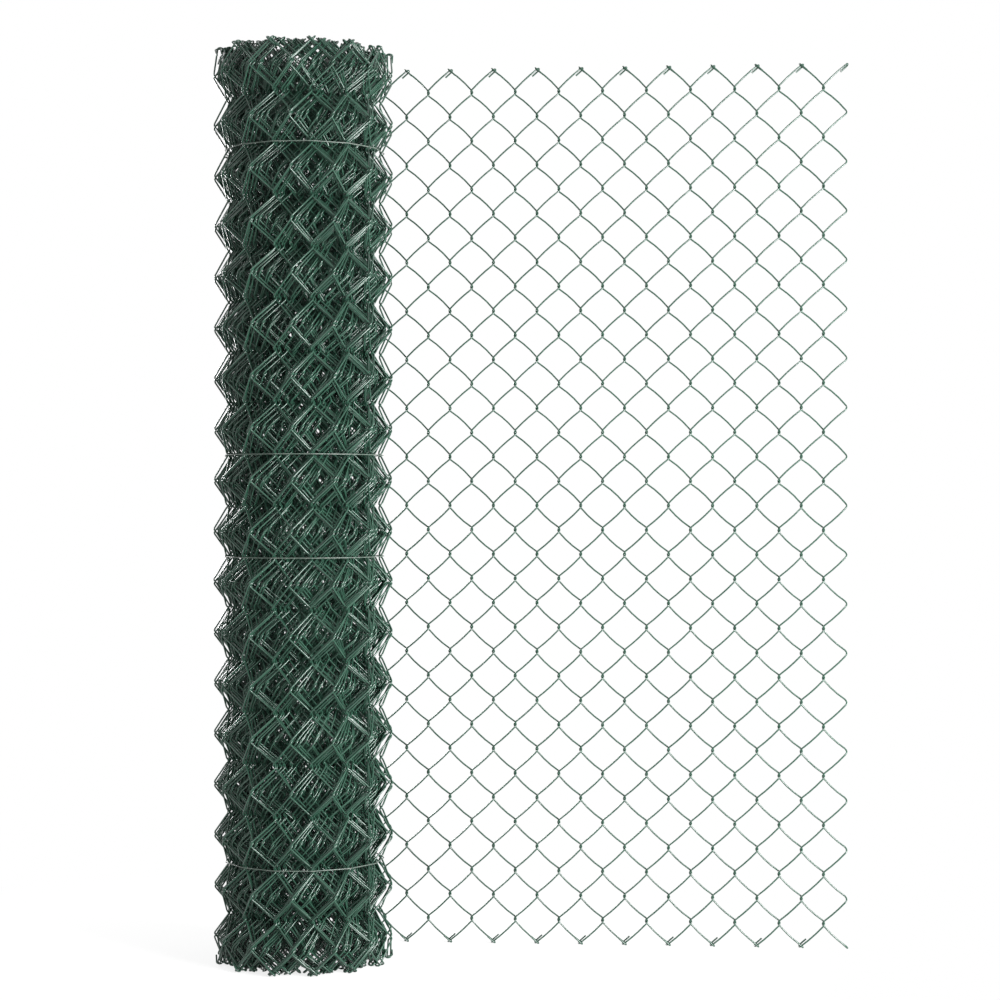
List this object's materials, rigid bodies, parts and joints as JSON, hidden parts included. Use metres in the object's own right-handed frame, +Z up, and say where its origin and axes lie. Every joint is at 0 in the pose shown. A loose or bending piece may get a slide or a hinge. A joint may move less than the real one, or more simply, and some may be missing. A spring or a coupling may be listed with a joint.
{
  "type": "roll of chain-link wire fencing",
  "caption": "Upright roll of green coated chain-link fencing, tied in four places, with its free end opened out as a flat sheet of hooked zigzag wires.",
  "frame": {"origin": "centre of the eye of the roll, at the level of its base", "axes": "+Z up along the roll's axis, +X along the opened mesh (which is turned 4.4 degrees towards -Y), -Y towards the viewer of the picture"},
  "size_m": [1.0643, 0.3044, 1.5],
  "materials": {
    "coated_wire": "moss green coating, extruded over steel wire, satin gloss",
    "tie_wire": "thin grey-green coated binding wire"
  },
  "bodies": {
    "root": {"wound_roll": "coated_wire", "tie_wire_1": "tie_wire", "tie_wire_2": "tie_wire", "tie_wire_3": "tie_wire", "tie_wire_4": "tie_wire", "open_wire_01": "coated_wire", "open_wire_02": "coated_wire", "open_wire_03": "coated_wire", "open_wire_04": "coated_wire", "open_wire_05": "coated_wire", "open_wire_06": "coated_wire", "open_wire_07": "coated_wire", "open_wire_08": "coated_wire", "open_wire_09": "coated_wire", "open_wire_10": "coated_wire", "open_wire_11": "coated_wire", "open_wire_12": "coated_wire", "open_wire_13": "coated_wire", "open_wire_14": "coated_wire", "open_wire_15": "coated_wire", "open_wire_16": "coated_wire", "open_wire_17": "coated_wire", "open_wire_18": "coated_wire", "open_wire_19": "coated_wire", "open_wire_20": "coated_wire", "open_wire_21": "coated_wire", "open_wire_22": "coated_wire", "open_wire_23": "coated_wire", "open_wire_24": "coated_wire"}
  },
  "joints": []
}
